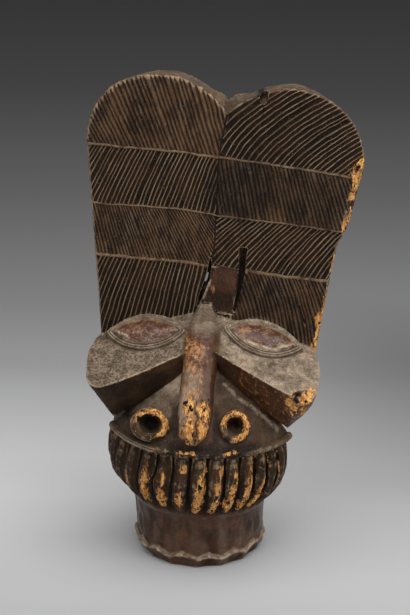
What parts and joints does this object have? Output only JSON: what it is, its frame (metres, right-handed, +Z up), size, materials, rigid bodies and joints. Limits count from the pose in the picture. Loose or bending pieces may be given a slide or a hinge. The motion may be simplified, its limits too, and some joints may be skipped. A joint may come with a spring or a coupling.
{
  "type": "crest mask",
  "caption": "Large carved wooden crest mask: neck rim, toothed mouth, ring nostrils, bar nose, massive cheeks with almond eyes, and a tall two-lobed incised crest.",
  "frame": {"origin": "on the floor under the middle of the mask's bounding box", "axes": "+Z up, the face looks along -Y, +X to the viewer's right"},
  "size_m": [0.3986, 0.2672, 0.751],
  "materials": {
    "patinated_wood": "dark worn patina, dusty above, bare yellow wood where it is rubbed"
  },
  "bodies": {
    "root": {"mask": "patinated_wood"}
  },
  "joints": []
}
